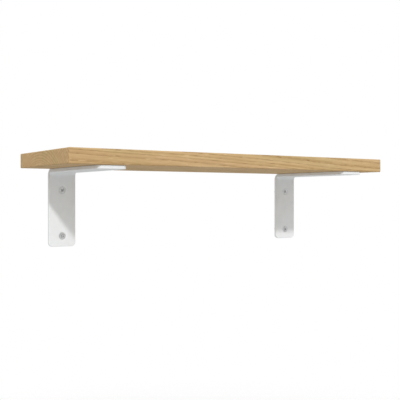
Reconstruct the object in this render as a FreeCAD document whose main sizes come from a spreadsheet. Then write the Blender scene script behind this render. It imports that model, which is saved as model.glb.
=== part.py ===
import FreeCAD, Part
import os

import Sketcher
from FreeCAD import Placement, Rotation, Vector

# A shelf board on two L-shaped brackets of bent flat bar, held by countersunk screws.
#
# The board lies on the brackets' level arms, and each bracket's leg hangs down the wall below
# it. Two screws go up through each arm into the board, and two go through each leg into the
# wall.
#
# The origin is on the wall plane, in the middle of the four wall screws. +X runs along the
# board, +Y goes into the wall and +Z is up. Left is -X, as seen from the front.

SHEET = "Dimensions"

# The driving dimensions: name, millimetres (or degrees where it says so), meaning.
DIMENSIONS = (
    ("board_length", 530.0, "board, along the wall"),
    ("board_depth", 168.0, "board, out from the wall"),
    ("board_thickness", 20.0, "board, underside to top"),
    ("board_easing", 1.5, "radius on the board's edges"),
    ("bracket_inset", 40.0, "end of the board to the side of a bracket"),
    ("bar_width", 40.0, "flat bar"),
    ("bar_thickness", 5.0, "flat bar"),
    ("bar_easing", 0.9, "radius on the bar's edges"),
    ("arm_reach", 165.0, "wall to the front end of the arm"),
    ("leg_drop", 110.0, "underside of the board to the lower end of the leg"),
    ("bend_radius", 5.0, "inside of the bend"),
    ("corner_radius", 6.0, "corners at the ends of the bar"),
    ("hole_from_end", 15.0, "end of the bar to its nearest hole"),
    ("hole_from_bend", 30.0, "outside of the bend to the nearest hole"),
    ("hole_diameter", 6.0, "clearance hole for a screw"),
    ("hole_easing", 0.3, "radius on the mouth of a countersink"),
    ("sink_diameter", 11.5, "mouth of the countersink"),
    ("sink_angle", 90.0, "countersink, degrees"),
    ("head_diameter", 10.0, "screw head"),
    ("head_rim", 0.4, "straight rim of the screw head"),
    ("neck_diameter", 4.4, "plain neck between the head and the thread"),
    ("thread_diameter", 5.0, "outside of the thread"),
    ("tip_length", 5.0, "pointed end of a screw"),
    ("board_screw_length", 20.0, "screw that holds the board, overall"),
    ("wall_screw_length", 30.0, "screw that holds a bracket to the wall, overall"),
    ("pilot_depth", 16.0, "screw hole in the board"),
    ("drill_angle", 118.0, "pointed bottom of that hole, degrees"),
    ("recess_span", 4.8, "cross recess, across its wings"),
    ("recess_slot", 1.1, "width of a wing"),
    ("recess_depth", 2.4, "depth of the cross recess"),
)

# Places worked out from the cells above, as expressions.
UNDERSIDE = "(({0}.hole_from_bend + {0}.leg_drop - {0}.hole_from_end) / 2)".format(SHEET)
BRACKET_X = "({0}.board_length / 2 - {0}.bracket_inset - {0}.bar_width / 2)".format(SHEET)
NEAR_HOLE = "{0}.hole_from_bend".format(SHEET)
ARM_FAR_HOLE = "({0}.arm_reach - {0}.hole_from_end)".format(SHEET)
LEG_FAR_HOLE = "({0}.leg_drop - {0}.hole_from_end)".format(SHEET)
HEAD_SETBACK = "(({0}.sink_diameter - {0}.head_diameter) / 2 - {0}.head_rim)".format(SHEET)
NECK_END = "({0}.bar_thickness - {1})".format(SHEET, HEAD_SETBACK)

# Each side's name and the sign of its X.
SIDES = (("left", "-"), ("right", "+"))

# Sketcher's numbers for the ends of a line, a circle's centre and the sketch's own origin.
START, END, CENTRE = 1, 2, 3
ORIGIN = (-1, 1)

# Lengths closer than this are the same, in millimetres.
TOUCHING = 1e-6


# ------------------------------------------------------------------ sheet, sketches and edges


def make_sheet(doc):
    """The spreadsheet that holds the driving dimensions, one to a row."""
    sheet = doc.addObject("Spreadsheet::Sheet", SHEET)
    for row, (name, value, meaning) in enumerate(DIMENSIONS, start=1):
        sheet.set("A{}".format(row), name)
        sheet.set("B{}".format(row), str(value))
        sheet.set("C{}".format(row), meaning)
        sheet.setAlias("B{}".format(row), name)
    doc.recompute()


def cell(name):
    """The expression that reads one driving dimension."""
    return "{}.{}".format(SHEET, name)


def half(name):
    """The expression for half of one driving dimension."""
    return "({}.{} / 2)".format(SHEET, name)


def start_body(doc, name):
    """An empty body, labelled with the name of the piece."""
    body = doc.addObject("PartDesign::Body", name)
    body.Label = name
    return body


def place(body, x, y, z, rotation=Rotation()):
    """Turns the body, and puts its own origin where three expressions say."""
    body.Placement = Placement(Vector(), rotation)
    body.setExpression(".Placement.Base.x", x)
    body.setExpression(".Placement.Base.y", y)
    body.setExpression(".Placement.Base.z", z)


def add_sketch(body, name, plane, lift=None):
    """A sketch on one of the body's own planes, or lifted off it by an expression."""
    sketch = body.newObject("Sketcher::SketchObject", name)
    support = next(item for item in body.Origin.OriginFeatures if item.Role == plane)
    sketch.AttachmentSupport = [(support, "")]
    sketch.MapMode = "FlatFace"
    if lift:
        sketch.setExpression(".AttachmentOffset.Base.z", lift)
    return sketch


def value_of(sketch, expression):
    """The number that an expression gives now, in millimetres."""
    result = sketch.evalExpression(expression)
    return float(getattr(result, "Value", result))


def size(sketch, name, kind, where, expression):
    """A named size of the sketch that follows an expression."""
    start_value = value_of(sketch, expression)
    sketch.addConstraint(Sketcher.Constraint(kind, *where, start_value))
    sketch.renameConstraint(sketch.ConstraintCount - 1, name)
    sketch.setExpression("Constraints." + name, expression)


def outline(sketch, corners):
    """A closed run of lines through corners that pairs of expressions give. Each corner is
    held at its place, and the last one closes the run."""
    points = []
    for x, y in corners:
        points.append(Vector(value_of(sketch, x), value_of(sketch, y)))
    count = len(points)
    for i in range(count):
        sketch.addGeometry(Part.LineSegment(points[i], points[(i + 1) % count]))
    for i in range(count):
        sketch.addConstraint(Sketcher.Constraint("Coincident", i, END, (i + 1) % count, START))
    for i, (x, y) in enumerate(corners):
        corner = (i, START)
        size(sketch, "x{}".format(i), "DistanceX", ORIGIN + corner, x)
        size(sketch, "y{}".format(i), "DistanceY", ORIGIN + corner, y)


def add_circle(sketch, name, x, y, radius):
    """A circle whose centre and radius follow expressions."""
    centre = Vector(value_of(sketch, x), value_of(sketch, y))
    circle = Part.Circle(centre, Vector(0, 0, 1), value_of(sketch, radius))
    index = sketch.addGeometry(circle)
    size(sketch, name + "_x", "DistanceX", ORIGIN + (index, CENTRE), x)
    size(sketch, name + "_y", "DistanceY", ORIGIN + (index, CENTRE), y)
    size(sketch, name + "_radius", "Radius", (index,), radius)


def near(a, b):
    """Whether two lengths are the same."""
    return abs(a - b) < TOUCHING


def dimension(doc, name):
    """One driving dimension as a number."""
    cell_value = getattr(doc.getObject(SHEET), name)
    return float(getattr(cell_value, "Value", cell_value))


def pick_edges(feature, wanted):
    """The names of a feature's edges that pass a test."""
    names = []
    for number, edge in enumerate(feature.Shape.Edges, start=1):
        if wanted(edge):
            names.append("Edge{}".format(number))
    return names


def round_edges(body, name, base, edges, radius):
    """A fillet on the named edges of a feature, or on all its sharp edges if none is named."""
    fillet = body.newObject("PartDesign::Fillet", name)
    fillet.Base = (base, edges)
    fillet.UseAllEdges = not edges
    fillet.setExpression("Radius", radius)
    body.Document.recompute()
    return fillet


# ------------------------------------------------------------------------------------ board


def make_board(doc):
    """The board, with eased edges and a pilot hole for each of its four screws. Its own
    origin is in the middle of the back edge of its underside."""
    body = start_body(doc, "board")
    place(body, "0", "0", UNDERSIDE)

    plan = add_sketch(body, "board_plan", "XY_Plane")
    left, right = "-" + half("board_length"), half("board_length")
    front, back = "-" + cell("board_depth"), "0"
    outline(plan, ((left, front), (right, front), (right, back), (left, back)))
    slab = body.newObject("PartDesign::Pad", "board_slab")
    slab.Profile = plan
    slab.setExpression("Length", cell("board_thickness"))
    doc.recompute()
    round_edges(body, "board_eased", slab, [], cell("board_easing"))

    spots = add_sketch(body, "board_pilot_spots", "XY_Plane")
    for side, sign in SIDES:
        for spot, distance in (("rear", NEAR_HOLE), ("front", ARM_FAR_HOLE)):
            name = "{}_{}".format(side, spot)
            add_circle(spots, name, sign + BRACKET_X, "-" + distance, half("thread_diameter"))
    doc.recompute()
    pilots = body.newObject("PartDesign::Hole", "board_pilots")
    pilots.Profile = spots
    pilots.Reversed = True
    pilots.DepthType = "Dimension"
    pilots.DrillPoint = "Angled"
    pilots.setExpression("Diameter", cell("thread_diameter"))
    pilots.setExpression("Depth", cell("pilot_depth"))
    pilots.setExpression("DrillPointAngle", cell("drill_angle"))
    doc.recompute()
    return body


# --------------------------------------------------------------------------------- brackets


def drill_and_sink(body, name, plane, lift, far_hole, backwards):
    """Two countersunk holes along the middle of one leg of the bar, sunk from the face that
    the sketch lies on. A cut goes against its sketch's normal, or along it if backwards."""
    spots = add_sketch(body, name + "_spots", plane, lift)
    add_circle(spots, "near", "0", "-" + NEAR_HOLE, half("hole_diameter"))
    add_circle(spots, "far", "0", "-" + far_hole, half("hole_diameter"))
    body.Document.recompute()
    holes = body.newObject("PartDesign::Hole", name)
    holes.Profile = spots
    holes.Reversed = backwards
    holes.DepthType = "ThroughAll"
    holes.HoleCutType = "Countersink"
    holes.HoleCutCustomValues = True
    holes.setExpression("Diameter", cell("hole_diameter"))
    holes.setExpression("HoleCutDiameter", cell("sink_diameter"))
    holes.setExpression("HoleCutCountersinkAngle", cell("sink_angle"))
    body.Document.recompute()
    return holes


def make_bracket(doc, side, sign):
    """A flat bar bent to a right angle: a level arm under the board, and a leg down the wall.
    Its own origin is where the outer faces of the two meet, in the middle of the width."""
    body = start_body(doc, "bracket_" + side)
    place(body, sign + BRACKET_X, "0", UNDERSIDE)
    thickness = dimension(doc, "bar_thickness")
    mouth_radius = dimension(doc, "sink_diameter") / 2

    # The bar from the side: the sketch's X is the body's Y, and its Y is the body's Z.
    profile = add_sketch(body, "profile_" + side, "YZ_Plane")
    front, low, inner = "-" + cell("arm_reach"), "-" + cell("leg_drop"), "-" + cell("bar_thickness")
    outline(
        profile,
        ((front, inner), (inner, inner), (inner, low), ("0", low), ("0", "0"), (front, "0")),
    )
    bar = body.newObject("PartDesign::Pad", "bar_" + side)
    bar.Profile = profile
    bar.SideType = "Symmetric"
    bar.setExpression("Length", cell("bar_width"))
    doc.recompute()

    def at_bend(edge, depth):
        return all(near(v.Point.y, -depth) and near(v.Point.z, -depth) for v in edge.Vertexes)

    def at_corner(edge):
        return near(edge.Length, thickness)

    def at_mouth(edge):
        curve = edge.Curve
        return isinstance(curve, Part.Circle) and near(curve.Radius, mouth_radius)

    inside = pick_edges(bar, lambda edge: at_bend(edge, thickness))
    bend = round_edges(body, "bend_inside_" + side, bar, inside, cell("bend_radius"))
    outside = pick_edges(bend, lambda edge: at_bend(edge, 0.0))
    outside_radius = "{} + {}".format(cell("bend_radius"), cell("bar_thickness"))
    bend = round_edges(body, "bend_outside_" + side, bend, outside, outside_radius)
    corners = pick_edges(bend, at_corner)
    ends = round_edges(body, "ends_" + side, bend, corners, cell("corner_radius"))
    round_edges(body, "eased_" + side, ends, [], cell("bar_easing"))

    # The arm is sunk from below and the leg from the front.
    arm_face, leg_face = "-" + cell("bar_thickness"), cell("bar_thickness")
    drill_and_sink(body, "arm_holes_" + side, "XY_Plane", arm_face, ARM_FAR_HOLE, True)
    holes = drill_and_sink(body, "leg_holes_" + side, "XZ_Plane", leg_face, LEG_FAR_HOLE, False)
    mouths = pick_edges(holes, at_mouth)
    round_edges(body, "mouths_" + side, holes, mouths, cell("hole_easing"))
    return body


# ----------------------------------------------------------------------------------- screws


def make_screw(doc, name, length, rotation, x, y, z):
    """A countersunk wood screw with a cross recess. It is turned about its own Z axis, with
    the top of its head at its origin and its tip below. The thread is the plain round bar
    that its crests touch, and starts where the bracket ends."""
    body = start_body(doc, name)
    place(body, x, y, z, rotation)

    head, neck, thread = half("head_diameter"), half("neck_diameter"), half("thread_diameter")
    rim = "-" + cell("head_rim")
    cone_end = "-({} + ({} - {}) / tan({}))".format(cell("head_rim"), head, neck, half("sink_angle"))
    neck_end = "-" + NECK_END
    shoulder = "-({} - {})".format(length, cell("tip_length"))
    profile = add_sketch(body, name + "_profile", "XZ_Plane")
    outline(
        profile,
        (
            ("0", "0"),
            ("0", "-" + length),
            (thread, shoulder),
            (thread, neck_end),
            (neck, neck_end),
            (neck, cone_end),
            (head, rim),
            (head, "0"),
        ),
    )
    shank = body.newObject("PartDesign::Revolution", name + "_turned")
    shank.Profile = profile
    shank.ReferenceAxis = (profile, ["V_Axis"])
    doc.recompute()

    cross = add_sketch(body, name + "_cross", "XY_Plane")
    far, slot = half("recess_span"), half("recess_slot")
    outline(
        cross,
        (
            (far, "-" + slot),
            (far, slot),
            (slot, slot),
            (slot, far),
            ("-" + slot, far),
            ("-" + slot, slot),
            ("-" + far, slot),
            ("-" + far, "-" + slot),
            ("-" + slot, "-" + slot),
            ("-" + slot, "-" + far),
            (slot, "-" + far),
            (slot, "-" + slot),
        ),
    )
    recess = body.newObject("PartDesign::Pocket", name + "_recess")
    recess.Profile = cross
    recess.setExpression("Length", cell("recess_depth"))
    doc.recompute()
    return body


def make_screws(doc):
    """Two screws up through each arm into the board, and two through each leg into the wall."""
    head_up = Rotation(Vector(1, 0, 0), 180)
    head_front = Rotation(Vector(1, 0, 0), 90)
    screws = []
    for side, sign in SIDES:
        x = sign + BRACKET_X
        for spot, distance in (("rear", NEAR_HOLE), ("front", ARM_FAR_HOLE)):
            name = "board_screw_{}_{}".format(side, spot)
            z = "{} - {}".format(UNDERSIDE, NECK_END)
            length = cell("board_screw_length")
            screws.append(make_screw(doc, name, length, head_up, x, "-" + distance, z))
        for spot, distance in (("upper", NEAR_HOLE), ("lower", LEG_FAR_HOLE)):
            name = "wall_screw_{}_{}".format(side, spot)
            z = "{} - {}".format(UNDERSIDE, distance)
            length = cell("wall_screw_length")
            screws.append(make_screw(doc, name, length, head_front, x, "-" + NECK_END, z))
    return screws


# ---------------------------------------------------------------------------------- writing


def check(doc, bodies):
    """Stops if any object of the document failed, or if a piece is not one valid solid."""
    for item in doc.Objects:
        if "Invalid" in item.State or "Error" in item.State:
            raise RuntimeError("{} failed: {}".format(item.Label, item.State))
    for body in bodies:
        if body.Shape.isNull() or not body.Shape.isValid():
            raise RuntimeError(body.Label + " has no valid shape")
        if len(body.Shape.Solids) != 1:
            raise RuntimeError(body.Label + " is not one solid")


def write(bodies):
    """Each piece goes to its own file, named after it."""
    os.makedirs("parts", exist_ok=True)
    for body in bodies:
        body.Shape.exportStep("parts/{}.step".format(body.Label))
        print("{:26s}{:12.1f} mm3".format(body.Label, body.Shape.Volume))


def main():
    doc = FreeCAD.newDocument("WallShelf")
    make_sheet(doc)
    bodies = [make_board(doc)]
    for side, sign in SIDES:
        bodies.append(make_bracket(doc, side, sign))
    bodies += make_screws(doc)
    doc.recompute()
    check(doc, bodies)
    write(bodies)


main()
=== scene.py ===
"""A wooden shelf board on two white L-shaped brackets of bent flat bar, with its screws.

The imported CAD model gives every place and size. The brackets keep their CAD shape and get a
powder coat. The board and the screws are modelled again here, with hand-sanded edges, cut
threads and cross recesses, inside the space that their CAD solids hold. Lengths are in metres.
"""

import math

import bmesh
import bpy
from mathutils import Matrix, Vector, noise


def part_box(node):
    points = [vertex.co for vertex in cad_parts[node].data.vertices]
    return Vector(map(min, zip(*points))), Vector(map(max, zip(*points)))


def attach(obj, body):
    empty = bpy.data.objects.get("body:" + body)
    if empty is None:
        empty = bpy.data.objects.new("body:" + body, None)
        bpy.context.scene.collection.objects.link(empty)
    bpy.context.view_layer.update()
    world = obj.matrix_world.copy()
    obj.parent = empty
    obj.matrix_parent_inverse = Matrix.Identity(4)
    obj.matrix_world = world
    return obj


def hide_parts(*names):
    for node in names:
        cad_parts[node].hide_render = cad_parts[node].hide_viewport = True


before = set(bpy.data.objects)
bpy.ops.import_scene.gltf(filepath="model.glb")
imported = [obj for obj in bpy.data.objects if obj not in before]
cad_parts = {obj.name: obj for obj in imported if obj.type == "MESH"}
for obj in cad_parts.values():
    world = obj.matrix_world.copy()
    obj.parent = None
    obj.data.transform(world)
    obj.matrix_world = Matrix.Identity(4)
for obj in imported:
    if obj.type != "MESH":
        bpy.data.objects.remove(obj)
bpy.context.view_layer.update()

MM = 0.001
SIDES = ("left", "right")

# The board.
EASING = 1.5 * MM  # radius of its edges
EASING_STEPS = 4  # mesh steps over half an edge
LINES_ALONG = 5.0 * MM  # mesh spacing along the grain
LINES_ACROSS = 3.0 * MM  # and across it
PLANING = 0.10 * MM  # how far the planed faces wander
PLANING_WAVES = 14.0  # to the metre
SANDING = 1.2 * MM  # the hand-sanded edges wander by up to 0.3 of this, the corners by 0.4
SANDING_WAVES = 31.0  # to the metre
SANDING_START = Vector((7.0, 3.0, 5.0))  # keeps the edges' noise apart from the faces'
PILOT_RADIUS = 2.5 * MM
PILOT_DEPTH = 16.0 * MM
DRILL_POINT = 1.5 * MM  # height of the cone at the bottom of a pilot hole
DRILL_START = 2.0 * MM  # how far below the board its cutter starts

# The tree it was sawn from. The axis of the rings passes under the board, lengthwise, a little
# nearer to the wall than the board's middle.
PITH = (0.0, -0.060, -0.012)
PITH_TURN = (0.0, 0.028, 0.020)  # how the axis leans, in radians about X, Y and Z
RING_WIDTH = 3.6 * MM
GRAIN_DRIFT = 9.0 * MM  # how far the rings and fibres stray from their lines
RAY_RADIUS = 0.1  # where the tangential spacing of the rays is true

# The grain's noises, as grains to the metre along the log and in its two cross directions.
DRIFT_GRAINS = (2.2, 8.0, 8.0)
STREAK_GRAINS = (5.0, 230.0, 230.0)
FIBRE_GRAINS = (38.0, 1500.0, 1500.0)
PATCH_GRAINS = (6.0, 28.0, 28.0)
PORE_GRAINS = (90.0, 2600.0, 2600.0)
RAY_GRAINS = (65.0, 1500.0, 130.0)  # along the log, round the pith and away from it

# How deep the bump of each material is.
OAK_RELIEF = 0.035 * MM
COAT_RELIEF = 0.018 * MM
ZINC_RELIEF = 0.010 * MM

# The screws. A head lies in its countersink, and the thread starts where the bar ends.
HEAD_RADIUS = 5.0 * MM
HEAD_RIM = 0.4 * MM
HEAD_ROUND = 0.15 * MM
NECK_RADIUS = 2.2 * MM
NECK_END = 4.65 * MM
THREAD_RADIUS = 2.5 * MM
THREAD_ROOT = 1.65 * MM
THREAD_PITCH = 2.2 * MM
TOOTH_HALF = 0.24  # half the width of the thread's tooth, as a share of the pitch
TIP_LENGTH = 5.0 * MM
TIP_CURVE = 0.75  # a tip of 1 is a plain cone, and less makes it bulge
RECESS_REACH = 2.4 * MM  # from the middle to the end of a wing
RECESS_HALF_SLOT = 0.55 * MM
RECESS_DEPTH = 2.4 * MM
SCREW_SIDES = 32  # mesh steps round a screw
THREAD_ROWS = 8  # and from one turn of its thread to the next
WELD = 0.0001 * MM  # points of the thread that are closer than this are one point
FIRST_TURN = 0.3  # how the first screw's recess is turned, in radians
NEXT_TURN = 1.1  # and how much further each next one is

# The camera stands low and to the left, just below the underside of the board.
CAMERA_PLACE = Vector((-0.619, -0.989, 0.022))
CAMERA_AIM = Vector((-0.023, -0.084, 0.0185))
CAMERA_LENS = 66.5

# The lights, as azimuth and elevation in degrees (azimuth 0 is in front of the shelf).
KEY_FROM = (-25.5, 28.8)
KEY_POWER = 1.42
KEY_ANGLE = 3.0
FILL_FROM = (150.0, 35.0)
FILL_POWER = 0.35
FILL_ANGLE = 40.0
SKY = 0.97  # ambient light from above
GROUND = 0.30  # and from below
BEHIND = 0.6  # what is left of both from straight behind, where a wall would be
FLOOR_DROP = 1.2  # from the wall fixings down to the floor
FLOOR_RADIUS = 4.0
FLOOR_SIDES = 96
FADE_START = 0.4  # where the floor starts to fade out, as a share of its radius
FADE_END = 0.95  # and where it is gone

# Colours, as linear red, green, blue and alpha.
WHITE = (1.0, 1.0, 1.0, 1.0)
FLOOR_GREY = (0.62, 0.62, 0.615, 1.0)
FLOOR_PALE = (0.69, 0.69, 0.685, 1.0)
COAT_WHITE = (0.790, 0.805, 0.808, 1.0)
COAT_THIN = (0.740, 0.760, 0.762, 1.0)
OAK_PALE = (0.610, 0.435, 0.225, 1.0)
OAK_DEEP = (0.500, 0.335, 0.152, 1.0)
OAK_SPRING = (0.375, 0.230, 0.095, 1.0)
OAK_ROSE = (0.540, 0.325, 0.180, 1.0)
OAK_OLIVE = (0.455, 0.350, 0.155, 1.0)
OAK_RAY = (0.660, 0.490, 0.275, 1.0)
OAK_PORE = (0.230, 0.130, 0.052, 1.0)
ZINC = (0.72, 0.73, 0.735, 1.0)
ZINC_DULL = (0.56, 0.565, 0.56, 1.0)


# ----------------------------------------------------------------------------- small tools


def towards(azimuth, elevation):
    """The unit vector towards what stands at that azimuth and elevation."""
    a, e = math.radians(azimuth), math.radians(elevation)
    return Vector((math.sin(a) * math.cos(e), -math.cos(a) * math.cos(e), math.sin(e)))


def add_object(name, data):
    """A new object in the scene."""
    obj = bpy.data.objects.new(name, data)
    bpy.context.scene.collection.objects.link(obj)
    return obj


def add_piece(name, mesh, material, node):
    """A new piece of the shelf, in the place of a CAD node."""
    piece = add_object(name, mesh)
    mesh.materials.clear()
    mesh.materials.append(material)
    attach(piece, "root")
    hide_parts(node)
    return piece


def to_mesh(bm, name, sharp_from):
    """Turns a bmesh into a smooth mesh. Edges of sharp_from degrees and more stay sharp."""
    bmesh.ops.recalc_face_normals(bm, faces=bm.faces)
    for face in bm.faces:
        face.smooth = True
    for edge in bm.edges:
        edge.smooth = edge.calc_face_angle(0.0) < math.radians(sharp_from)
    mesh = bpy.data.meshes.new(name)
    bm.to_mesh(mesh)
    bm.free()
    return mesh


def bridge(bm, ring_a, ring_b):
    """Faces between two closed rings of equally many vertices."""
    count = len(ring_a)
    for i in range(count):
        j = (i + 1) % count
        bm.faces.new((ring_a[i], ring_a[j], ring_b[j], ring_b[i]))


# The Mix node has sockets of the same name for each kind of data. These are the colour ones.
MIX_A, MIX_B, MIX_RESULT = 6, 7, 2


class Graph:
    """Adds nodes to a node tree. An input takes a number, a colour or another node's output."""

    def __init__(self, tree):
        self.tree = tree

    def node(self, kind, inputs=None, **settings):
        """A new shader node, with its settings made and its inputs fed."""
        made = self.tree.nodes.new("ShaderNode" + kind)
        for name, value in settings.items():
            setattr(made, name, value)
        for key, value in (inputs or {}).items():
            self.feed(made.inputs[key], value)
        return made

    def feed(self, socket, value):
        """Links an output to an input, or sets the input's own value."""
        if isinstance(value, bpy.types.NodeSocket):
            self.tree.links.new(value, socket)
        else:
            socket.default_value = value

    def place(self):
        """A point's place in the frame, because every piece's origin is the frame's."""
        return self.node("TexCoord").outputs["Object"]

    def math(self, operation, *values):
        """The result of a Math node."""
        return self.node("Math", dict(enumerate(values)), operation=operation).outputs[0]

    def stretched(self, place, times):
        """A place with its X, Y and Z multiplied."""
        inputs = {0: place, 1: times}
        return self.node("VectorMath", inputs, operation="MULTIPLY").outputs["Vector"]

    def noise(self, place, times, detail=2.0, roughness=0.5, output="Fac"):
        """Noise with a given number of grains to the metre along X, Y and Z."""
        inputs = {
            "Vector": self.stretched(place, times),
            "Scale": 1.0,
            "Detail": detail,
            "Roughness": roughness,
        }
        return self.node("TexNoise", inputs).outputs[output]

    def noise_on_line(self, place, times):
        """Noise along a single number."""
        inputs = {"W": place, "Scale": times}
        return self.node("TexNoise", inputs, noise_dimensions="1D").outputs["Fac"]

    def span(self, value, low, high, to_low=0.0, to_high=1.0):
        """Carries low..high to to_low..to_high, with soft ends."""
        inputs = {
            "Value": value,
            "From Min": low,
            "From Max": high,
            "To Min": to_low,
            "To Max": to_high,
        }
        return self.node("MapRange", inputs, interpolation_type="SMOOTHSTEP").outputs["Result"]

    def mix(self, share, colour_a, colour_b):
        """Two colours mixed by a share from 0 to 1."""
        inputs = {"Factor": share, MIX_A: colour_a, MIX_B: colour_b}
        return self.node("Mix", inputs, data_type="RGBA").outputs[MIX_RESULT]

    def bump(self, height, distance):
        """A normal that follows a height from 0 to 1 over a distance."""
        return self.node("Bump", {"Height": height, "Distance": distance}).outputs["Normal"]


def new_material(name):
    """A material with a Principled shader, and the graph that its nodes are added to."""
    material = bpy.data.materials.new(name)
    material.use_nodes = True
    material.node_tree.nodes.clear()
    graph = Graph(material.node_tree)
    shader = graph.node("BsdfPrincipled")
    graph.node("OutputMaterial", {"Surface": shader.outputs["BSDF"]})
    return material, graph, shader


# ------------------------------------------------------------------------------- materials


def oak():
    """Light oak, solid all through: growth rings about a leaning axis, and the fibres, pores
    and rays that follow them, so that faces, edges and end grain agree where they meet."""
    material, graph, shader = new_material("oak")
    inputs = {"Vector": graph.place(), "Location": PITH, "Rotation": PITH_TURN}
    log = graph.node("Mapping", inputs, vector_type="TEXTURE").outputs["Vector"]

    drift = graph.noise(log, DRIFT_GRAINS, 1.5, output="Color")
    inputs = {0: drift, 1: (0.0, GRAIN_DRIFT, GRAIN_DRIFT), 2: log}
    grain = graph.node("VectorMath", inputs, operation="MULTIPLY_ADD").outputs["Vector"]
    parts = graph.node("SeparateXYZ", {0: grain}).outputs
    across = graph.stretched(grain, (0.0, 1.0, 1.0))
    radius = graph.node("VectorMath", {0: across}, operation="LENGTH").outputs["Value"]
    round_pith = graph.math("MULTIPLY", graph.math("ARCTAN2", parts["Y"], parts["Z"]), RAY_RADIUS)

    years = graph.math("MULTIPLY", radius, 1.0 / RING_WIDTH)
    years = graph.math("MULTIPLY_ADD", graph.noise_on_line(radius, 55.0), 2.5, years)
    season = graph.math("FRACT", years)
    year = graph.math("FLOOR", years)
    tone = graph.node("TexWhiteNoise", {"W": year}, noise_dimensions="1D").outputs["Value"]
    spring = graph.math("SUBTRACT", 1.0, graph.span(season, 0.05, 0.6))
    spring = graph.math("MAXIMUM", spring, graph.span(season, 0.93, 1.0))

    streaks = graph.noise(grain, STREAK_GRAINS, 3.0, 0.55)
    fibres = graph.noise(grain, FIBRE_GRAINS, 2.0, 0.6)
    patches = graph.noise(log, PATCH_GRAINS)
    pores = graph.span(graph.noise(grain, PORE_GRAINS, 1.0), 0.54, 0.64)
    pores = graph.math("MULTIPLY", pores, spring)
    sheets = {"X": parts["X"], "Y": round_pith, "Z": radius}
    sheets = graph.node("CombineXYZ", sheets).outputs["Vector"]
    rays = graph.span(graph.noise(sheets, RAY_GRAINS, 1.0), 0.62, 0.72)

    colour = graph.mix(graph.span(streaks, 0.30, 0.70), OAK_DEEP, OAK_PALE)
    colour = graph.mix(graph.math("MULTIPLY", tone, 0.40), colour, OAK_ROSE)
    colour = graph.mix(graph.span(patches, 0.40, 0.75, 0.0, 0.45), colour, OAK_OLIVE)
    colour = graph.mix(graph.math("MULTIPLY", spring, 0.50), colour, OAK_SPRING)
    colour = graph.mix(graph.span(fibres, 0.35, 0.70, 0.0, 0.20), colour, OAK_PORE)
    colour = graph.mix(graph.math("MULTIPLY", pores, 0.7), colour, OAK_PORE)
    colour = graph.mix(graph.math("MULTIPLY", rays, 0.6), colour, OAK_RAY)
    graph.feed(shader.inputs["Base Color"], colour)
    graph.feed(shader.inputs["Roughness"], graph.span(fibres, 0.3, 0.7, 0.54, 0.70))
    graph.feed(shader.inputs["Specular IOR Level"], 0.18)

    height = graph.math("MULTIPLY_ADD", spring, -0.5, fibres)
    height = graph.math("MULTIPLY_ADD", pores, -1.5, height)
    graph.feed(shader.inputs["Normal"], graph.bump(height, OAK_RELIEF))
    return material


def powder_coat():
    """A white powder coat with a satin gloss, a fine orange peel and slow swells."""
    material, graph, shader = new_material("powder_coat")
    place = graph.place()
    swells = graph.noise(place, (90.0, 90.0, 90.0), 1.0)
    peel = graph.noise(place, (900.0, 900.0, 900.0), 1.5)
    specks = graph.noise(place, (420.0, 420.0, 420.0), 2.0)

    colour = graph.mix(graph.span(swells, 0.35, 0.75, 0.0, 0.6), COAT_WHITE, COAT_THIN)
    graph.feed(shader.inputs["Base Color"], colour)
    graph.feed(shader.inputs["Roughness"], graph.span(specks, 0.3, 0.7, 0.37, 0.43))
    height = graph.math("MULTIPLY_ADD", swells, 2.0, peel)
    graph.feed(shader.inputs["Normal"], graph.bump(height, COAT_RELIEF))
    return material


def zinc_plate():
    """Zinc-plated steel, with dull patches and fine marks from the machines."""
    material, graph, shader = new_material("zinc_plate")
    place = graph.place()
    patches = graph.noise(place, (500.0, 500.0, 500.0), 3.0, 0.6)
    marks = graph.noise(place, (2600.0, 2600.0, 2600.0), 2.0)
    graph.feed(shader.inputs["Base Color"], graph.mix(graph.span(patches, 0.35, 0.7), ZINC, ZINC_DULL))
    graph.feed(shader.inputs["Metallic"], 1.0)
    graph.feed(shader.inputs["Roughness"], graph.span(patches, 0.3, 0.7, 0.30, 0.48))
    graph.feed(shader.inputs["Normal"], graph.bump(marks, ZINC_RELIEF))
    return material


# ------------------------------------------------------------------------------- the board


def mesh_lines(low, high, spacing):
    """Places of the mesh lines along one side of the board. They crowd over the edges."""
    angles = [math.radians(45.0 * k / EASING_STEPS) for k in range(1, EASING_STEPS + 1)]
    steps = [EASING * math.tan(angle) for angle in angles]
    first, last = low + EASING, high - EASING
    count = round((last - first) / spacing)
    middle = [first + (last - first) * k / count for k in range(count + 1)]
    return [first - step for step in reversed(steps)] + middle + [last + step for step in steps]


def sanded(point, low, high):
    """Where a point of a plain box comes to lie on the board with its eased, sanded edges."""
    inner = Vector([min(max(p, a + EASING), b - EASING) for p, a, b in zip(point, low, high)])
    outwards = (point - inner).normalized()
    edge = 1.0 - max(abs(part) for part in outwards)  # 0 on a face, 0.3 on an edge, 0.4 at a corner
    planing = PLANING * (0.5 + 0.5 * noise.noise(point * PLANING_WAVES))
    sanding = SANDING * edge * abs(noise.noise(point * SANDING_WAVES + SANDING_START))
    return inner + outwards * (EASING - planing - sanding)


def box_skin(lines):
    """A closed bmesh of a box with the given mesh lines along X, Y and Z."""
    bm = bmesh.new()
    verts = {}

    def vert(key):
        if key not in verts:
            verts[key] = bm.verts.new([lines[axis][key[axis]] for axis in range(3)])
        return verts[key]

    for axis in range(3):
        u, v = [other for other in range(3) if other != axis]
        for end in (0, len(lines[axis]) - 1):
            for i in range(len(lines[u]) - 1):
                for j in range(len(lines[v]) - 1):
                    corners = []
                    for di, dj in ((0, 0), (1, 0), (1, 1), (0, 1)):
                        key = [end] * 3
                        key[u], key[v] = i + di, j + dj
                        corners.append(vert(tuple(key)))
                    bm.faces.new(corners)
    return bm


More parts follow.
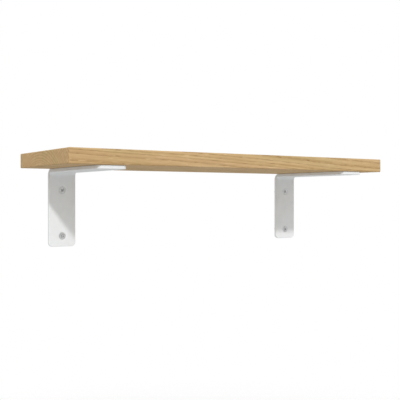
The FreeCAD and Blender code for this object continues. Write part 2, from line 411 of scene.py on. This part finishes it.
def pilot_drill(underside, node):
    """A cutter for the pilot hole of one board screw, drilled up from the board's underside."""
    screw_low, screw_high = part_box(node)
    bm = bmesh.new()
    outline = [math.tau * k / SCREW_SIDES for k in range(SCREW_SIDES)]
    middle = Vector(((screw_low[0] + screw_high[0]) / 2, (screw_low[1] + screw_high[1]) / 2, 0.0))

    def circle(radius, z):
        return [bm.verts.new(middle + Vector((radius * math.cos(a), radius * math.sin(a), z)))
                for a in outline]

    bottom = underside + PILOT_DEPTH
    start = circle(PILOT_RADIUS, underside - DRILL_START)
    end = circle(PILOT_RADIUS, bottom)
    point = bm.verts.new(middle + Vector((0.0, 0.0, bottom + DRILL_POINT)))
    bm.faces.new(start)
    bridge(bm, start, end)
    for i in range(SCREW_SIDES):
        bm.faces.new((end[i], end[(i + 1) % SCREW_SIDES], point))
    return add_object("pilot_drill", to_mesh(bm, "pilot_drill", sharp_from=30))


def drilled(mesh, drills):
    """The mesh with the cutters taken out of it. The cutters are deleted."""
    blank = add_object("blank", mesh)
    for drill in drills:
        cut = blank.modifiers.new("drill", "BOOLEAN")
        cut.operation = "DIFFERENCE"
        cut.solver = "EXACT"
        cut.object = drill
    evaluated = blank.evaluated_get(bpy.context.evaluated_depsgraph_get())
    result = bpy.data.meshes.new_from_object(evaluated)
    for spent in [blank] + drills:
        bpy.data.objects.remove(spent)
    return result


def make_board():
    """The shelf board: planed faces, sanded edges, and pilot holes for its four screws."""
    low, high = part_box("board")
    spacing = (LINES_ALONG, LINES_ACROSS, LINES_ACROSS)
    bm = box_skin([mesh_lines(low[axis], high[axis], spacing[axis]) for axis in range(3)])
    for vert in bm.verts:
        vert.co = sanded(vert.co.copy(), low, high)
    screws = [f"board_screw_{side}_{row}" for side in SIDES for row in ("rear", "front")]
    drills = [pilot_drill(low[2], node) for node in screws]
    mesh = drilled(to_mesh(bm, "oak_board", sharp_from=40), drills)
    add_piece("oak_board", mesh, oak(), "board")


# ------------------------------------------------------------------------------ the screws


def cross_outline(size):
    """The outline of a cross recess, counter-clockwise, with rounded wings and inner corners.
    It is one wing and the corner after it, turned to the four sides."""
    reach, half = RECESS_REACH * size, RECESS_HALF_SLOT * size
    quarter = [(reach - 0.4 * half, -half), (reach, -0.5 * half), (reach, 0.5 * half),
               (reach - 0.4 * half, half), (1.7 * half, 1.05 * half), (1.05 * half, 1.7 * half)]
    turns = [(1, 0), (0, 1), (-1, 0), (0, -1)]
    return [(x * c - y * s, x * s + y * c) for c, s in turns for x, y in quarter]


def circle_outline(radius):
    """Points round a circle, counter-clockwise."""
    angles = [math.tau * k / SCREW_SIDES for k in range(SCREW_SIDES)]
    return [(radius * math.cos(a), radius * math.sin(a)) for a in angles]


def make_head(bm, place):
    """The countersunk head with its cross recess, and the neck down to the thread."""
    cone_end = HEAD_RIM + HEAD_RADIUS - NECK_RADIUS
    steps = [(HEAD_RADIUS - HEAD_ROUND, 0.0), (HEAD_RADIUS, HEAD_ROUND), (HEAD_RADIUS, HEAD_RIM),
             (NECK_RADIUS, cone_end), (NECK_RADIUS, NECK_END)]
    rings = [[bm.verts.new(place(x, y, depth)) for x, y in circle_outline(radius)]
             for radius, depth in steps]
    for upper, lower in zip(rings, rings[1:]):
        bridge(bm, upper, lower)

    steps = [(1.0, 0.0), (0.85, 0.6), (0.55, 0.85)]  # size, and share of the recess's depth
    walls = [[bm.verts.new(place(x, y, share * RECESS_DEPTH)) for x, y in cross_outline(size)]
             for size, share in steps]
    for upper, lower in zip(walls, walls[1:]):
        bridge(bm, upper, lower)
    bottom = bm.verts.new(place(0.0, 0.0, RECESS_DEPTH))
    last = walls[-1]
    for i in range(len(last)):
        bm.faces.new((last[i - 1], last[i], bottom))

    rims = [bm.edges.get((loop[i - 1], loop[i])) for loop in (rings[0], walls[0])
            for i in range(len(loop))]
    bmesh.ops.triangle_fill(bm, use_beauty=True, edges=rims)


def make_thread(bm, place, length):
    """The thread, as a strip of THREAD_ROWS rows that winds from the neck to the tip. Its
    first and last turns are squeezed onto the neck's end and onto the tip."""
    turns = (length - NECK_END) / THREAD_PITCH
    columns = math.ceil((turns + 2) * SCREW_SIDES)

    def vert(column, row):
        turn = column / SCREW_SIDES - 1 + row / THREAD_ROWS
        depth = min(max(NECK_END + turn * THREAD_PITCH, NECK_END), length)
        started = min(1.0, (depth - NECK_END) / THREAD_PITCH)
        tapered = min(1.0, (length - depth) / TIP_LENGTH) ** TIP_CURVE
        tooth = max(0.0, 1.0 - abs(row / THREAD_ROWS - 0.5) / TOOTH_HALF)
        cut = THREAD_ROOT + (THREAD_RADIUS - THREAD_ROOT) * tooth
        radius = (NECK_RADIUS + (cut - NECK_RADIUS) * started) * tapered
        angle = math.tau * (column % SCREW_SIDES) / SCREW_SIDES
        return bm.verts.new(place(radius * math.cos(angle), radius * math.sin(angle), depth))

    grid = [[vert(column, row) for row in range(THREAD_ROWS + 1)] for column in range(columns)]
    for left, right in zip(grid, grid[1:]):
        for row in range(THREAD_ROWS):
            bm.faces.new((left[row], right[row], right[row + 1], left[row + 1]))
    bmesh.ops.remove_doubles(bm, verts=bm.verts, dist=WELD)


def make_screw(node, axis, turn, material):
    """A countersunk screw in the place of a CAD node. It points along the positive axis,
    1 for Y or 2 for Z, and its recess is turned by an angle."""
    low, high = (Vector(corner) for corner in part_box(node))
    middle = (low + high) / 2
    forward, across, upwards = [Vector([float(i == k % 3) for i in range(3)])
                                for k in (axis, axis + 1, axis + 2)]
    head = middle + forward * (low[axis] - middle[axis])
    across, upwards = (across * math.cos(turn) + upwards * math.sin(turn),
                       upwards * math.cos(turn) - across * math.sin(turn))

    def place(x, y, depth):
        return head + across * x + upwards * y + forward * depth

    bm = bmesh.new()
    make_head(bm, place)
    make_thread(bm, place, high[axis] - low[axis])
    mesh = to_mesh(bm, node + "_cut", sharp_from=35)
    add_piece(node + "_cut", mesh, material, node)


def make_screws():
    """Four screws up into the board and four into the wall, each turned as it was left."""
    zinc = zinc_plate()
    turn = FIRST_TURN
    for side in SIDES:
        for row in ("rear", "front"):
            make_screw(f"board_screw_{side}_{row}", 2, turn, zinc)
            turn += NEXT_TURN
        for row in ("upper", "lower"):
            make_screw(f"wall_screw_{side}_{row}", 1, turn, zinc)
            turn += NEXT_TURN


def coat_brackets():
    """Gives the powder coat to the two CAD brackets."""
    coat = powder_coat()
    for side in SIDES:
        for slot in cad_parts[f"bracket_{side}"].material_slots:
            slot.material = coat


# ------------------------------------------------------------------------------- the studio


def make_floor():
    """A round pale floor, far below a shelf that hangs on a wall. It fades out at its rim."""
    bm = bmesh.new()
    bmesh.ops.create_circle(bm, cap_ends=True, radius=FLOOR_RADIUS, segments=FLOOR_SIDES)
    floor = add_object("floor", to_mesh(bm, "floor", sharp_from=30))
    floor.location = (0.0, 0.0, -FLOOR_DROP)
    material, graph, shader = new_material("floor")
    from_middle = graph.node("VectorMath", {0: graph.place()}, operation="LENGTH").outputs["Value"]
    grain = graph.noise(graph.place(), (3.0, 3.0, 3.0))
    graph.feed(shader.inputs["Base Color"], graph.mix(grain, FLOOR_GREY, FLOOR_PALE))
    graph.feed(shader.inputs["Roughness"], 0.9)
    start, end = FADE_START * FLOOR_RADIUS, FADE_END * FLOOR_RADIUS
    fade = graph.span(from_middle, start, end, 1.0, 0.0)
    graph.feed(shader.inputs["Alpha"], fade)
    floor.data.materials.append(material)


def make_world():
    """Soft light, more from above than from below, and less from behind. The camera sees plain
    white past the floor."""
    world = bpy.data.worlds.new("studio")
    world.use_nodes = True
    world.node_tree.nodes.clear()
    graph = Graph(world.node_tree)
    seen = graph.node("LightPath").outputs["Is Camera Ray"]
    way = graph.node("SeparateXYZ", {0: graph.node("TexCoord").outputs["Generated"]}).outputs
    strength = graph.span(way["Z"], -0.6, 0.4, GROUND, SKY)
    strength = graph.math("MULTIPLY", strength, graph.span(way["Y"], 0.3, 1.0, 1.0, BEHIND))
    soft = graph.node("Background", {"Color": WHITE, "Strength": strength})
    plain = graph.node("Background", {"Color": WHITE, "Strength": 1.0})
    both = graph.node("MixShader", {0: seen, 1: soft.outputs[0], 2: plain.outputs[0]})
    graph.node("OutputWorld", {"Surface": both.outputs[0]})
    bpy.context.scene.world = world


def make_sun(name, place, power, angle):
    """A light from a direction, with a disc that many degrees wide."""
    sun = bpy.data.lights.new(name, "SUN")
    sun.energy = power
    sun.angle = math.radians(angle)
    lamp = add_object(name, sun)
    lamp.rotation_euler = towards(*place).to_track_quat("Z", "Y").to_euler()


def make_camera():
    """The camera, at its place and turned to its aim."""
    lens = bpy.data.cameras.new("camera")
    lens.lens = CAMERA_LENS
    camera = add_object("camera", lens)
    camera.location = CAMERA_PLACE
    camera.rotation_euler = (CAMERA_AIM - CAMERA_PLACE).to_track_quat("-Z", "Y").to_euler()
    bpy.context.scene.camera = camera


make_board()
coat_brackets()
make_screws()
make_floor()
make_world()
make_sun("key", KEY_FROM, KEY_POWER, KEY_ANGLE)
make_sun("fill", FILL_FROM, FILL_POWER, FILL_ANGLE)
make_camera()
bpy.context.scene.view_settings.view_transform = "Standard"
